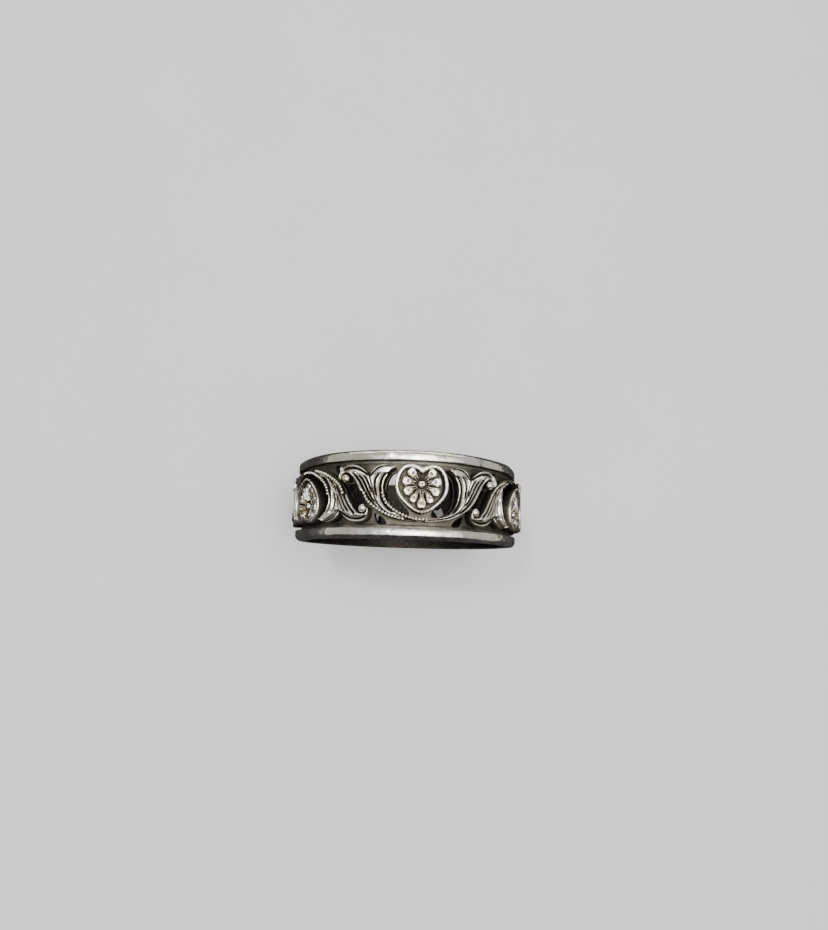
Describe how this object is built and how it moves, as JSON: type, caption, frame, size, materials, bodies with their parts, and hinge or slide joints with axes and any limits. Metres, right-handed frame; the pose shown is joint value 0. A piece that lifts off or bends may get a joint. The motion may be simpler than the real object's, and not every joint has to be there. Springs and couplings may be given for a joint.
{
  "type": "wedding band",
  "caption": "Openwork wedding band: pierced strip between two plain rails, with heart-and-flower motifs in leaf scrolls, every other one turned upside down.",
  "frame": {"origin": "middle of the finger bore: on its axis, halfway across the band", "axes": "+Y along the finger axis, towards the lobes of the first motif's heart; +Z from the axis through the middle of that heart; +X to its right"},
  "size_m": [0.0203, 0.0066, 0.0204],
  "materials": {
    "polished_rail": "polished, worn",
    "raised_relief": "polished high points, oxidised recesses",
    "oxidised_ground": "matt, oxidised"
  },
  "bodies": {
    "root": {"bead_wires_1": "raised_relief", "bead_wires_2": "raised_relief", "bead_wires_3": "raised_relief", "bead_wires_4": "raised_relief", "bead_wires_5": "raised_relief", "bead_wires_6": "raised_relief", "curl_ball_left_1": "raised_relief", "curl_ball_left_2": "raised_relief", "curl_ball_left_3": "raised_relief", "curl_ball_left_4": "raised_relief", "curl_ball_left_5": "raised_relief", "curl_ball_left_6": "raised_relief", "curl_ball_right_1": "raised_relief", "curl_ball_right_2": "raised_relief", "curl_ball_right_3": "raised_relief", "curl_ball_right_4": "raised_relief", "curl_ball_right_5": "raised_relief", "curl_ball_right_6": "raised_relief", "edge_rail_lower": "polished_rail", "edge_rail_upper": "polished_rail", "flower_1": "raised_relief", "flower_2": "raised_relief", "flower_3": "raised_relief", "flower_4": "raised_relief", "flower_5": "raised_relief", "flower_6": "raised_relief", "flower_bead_1": "raised_relief", "flower_bead_2": "raised_relief", "flower_bead_3": "raised_relief", "flower_bead_4": "raised_relief", "flower_bead_5": "raised_relief", "flower_bead_6": "raised_relief", "heart_border_1": "raised_relief", "heart_border_2": "raised_relief", "heart_border_3": "raised_relief", "heart_border_4": "raised_relief", "heart_border_5": "raised_relief", "heart_border_6": "raised_relief", "heart_plate_1": "oxidised_ground", "heart_plate_2": "oxidised_ground", "heart_plate_3": "oxidised_ground", "heart_plate_4": "oxidised_ground", "heart_plate_5": "oxidised_ground", "heart_plate_6": "oxidised_ground", "pierced_strip": "oxidised_ground", "scroll_left_1": "raised_relief", "scroll_left_2": "raised_relief", "scroll_left_3": "raised_relief", "scroll_left_4": "raised_relief", "scroll_left_5": "raised_relief", "scroll_left_6": "raised_relief", "scroll_right_1": "raised_relief", "scroll_right_2": "raised_relief", "scroll_right_3": "raised_relief", "scroll_right_4": "raised_relief", "scroll_right_5": "raised_relief", "scroll_right_6": "raised_relief"}
  },
  "joints": []
}
